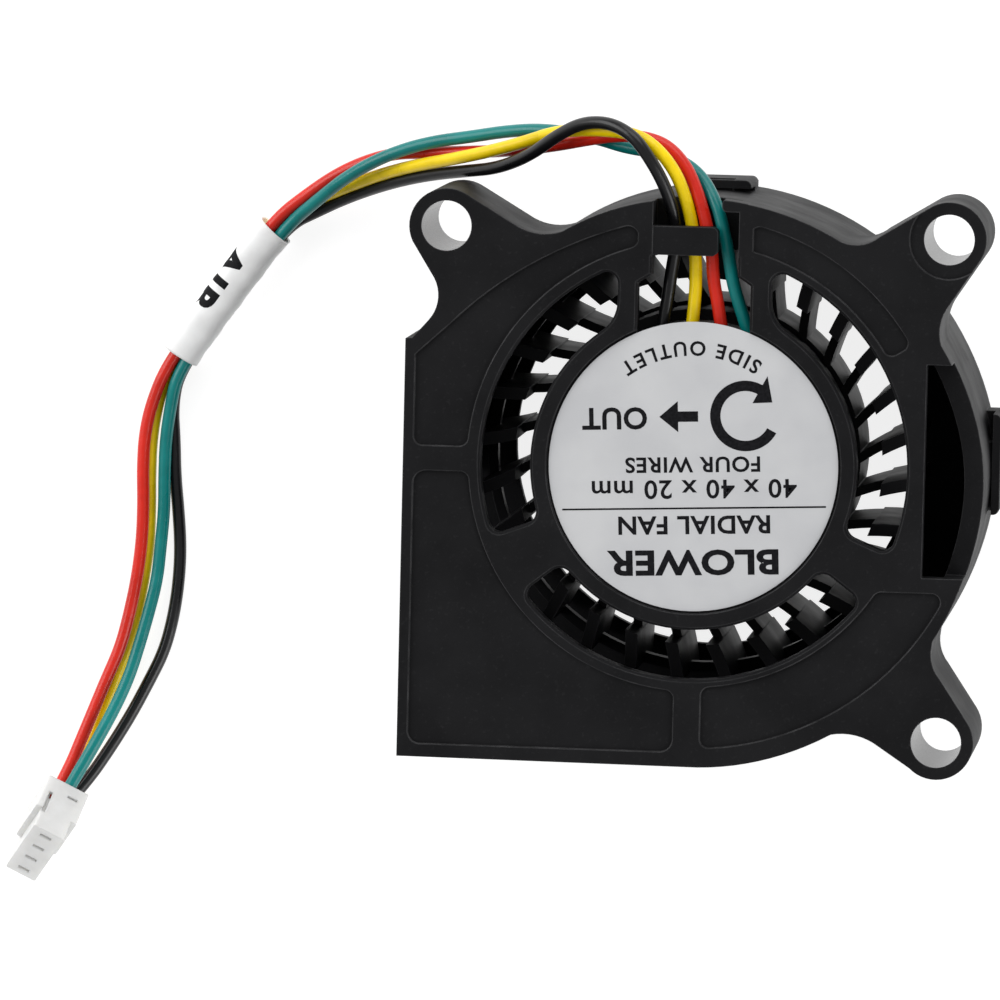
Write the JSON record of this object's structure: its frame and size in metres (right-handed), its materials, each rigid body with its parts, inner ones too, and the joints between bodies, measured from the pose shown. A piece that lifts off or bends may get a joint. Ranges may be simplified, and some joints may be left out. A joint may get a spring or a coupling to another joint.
{
  "type": "centrifugal blower fan",
  "caption": "Flat square-format centrifugal cooling blower with scroll housing, open inlets on both faces, side outlet, mounting lugs and a wired lead with a plug.",
  "frame": {"origin": "on the impeller's axis, in the plane of the rear face", "axes": "+Z out of the label side along the impeller's axis, -X out of the air outlet, +Y towards the side that the lead leaves by"},
  "size_m": [0.0708, 0.0569, 0.02],
  "materials": {
    "casing_plastic": "fine moulded grain, satin black",
    "impeller_plastic": "moulded, satin black",
    "label_foil": "matte silver foil with black print",
    "core_steel": "stamped laminations",
    "bobbin_plastic": "natural nylon",
    "copper_wire": "enamelled copper wire",
    "board_laminate": "green solder mask",
    "chip_plastic": "moulded epoxy",
    "capacitor_ceramic": "ceramic with tinned ends",
    "solder": "bright solder",
    "bearing_bronze": "sintered, oil filled",
    "washer_plastic": "natural nylon",
    "yoke_steel": "drawn, zinc plated",
    "magnet_ferrite": "rubber-bonded ferrite",
    "shaft_steel": "ground steel",
    "seal_rubber": "nitrile",
    "sleeve_white": "heat-shrink marker tube",
    "connector_nylon": "natural nylon",
    "contact_tin": "tinned phosphor bronze",
    "wire_yellow": "glossy PVC",
    "wire_red": "glossy PVC",
    "wire_green": "glossy PVC, blue-green",
    "wire_black": "glossy PVC"
  },
  "bodies": {
    "housing": {"front_casing": "casing_plastic", "rear_casing": "casing_plastic", "label_disc": "label_foil", "stator_core": "core_steel", "bobbin_upper": "bobbin_plastic", "bobbin_lower": "bobbin_plastic", "winding_1": "copper_wire", "winding_2": "copper_wire", "winding_3": "copper_wire", "winding_4": "copper_wire", "circuit_board": "board_laminate", "driver_chip": "chip_plastic", "hall_sensor": "chip_plastic", "board_capacitor": "capacitor_ceramic", "solder_joints": "solder", "bearing_sleeve": "bearing_bronze", "thrust_washer": "washer_plastic", "marker_sleeve": "sleeve_white", "connector_housing": "connector_nylon", "connector_contacts": "contact_tin", "wire_yellow": "wire_yellow", "wire_red": "wire_red", "wire_green": "wire_green", "wire_black": "wire_black"},
    "rotor": {"impeller": "impeller_plastic", "rotor_yoke": "yoke_steel", "magnet_ring": "magnet_ferrite", "shaft": "shaft_steel", "retaining_clip": "washer_plastic", "oil_ring": "seal_rubber"}
  },
  "joints": [
    {"name": "impeller_spin", "type": "hinge", "parent": "housing", "child": "rotor", "pos_m": [0, 0, 0.01], "axis": [0, 0, 1], "continuous": true}
  ]
}
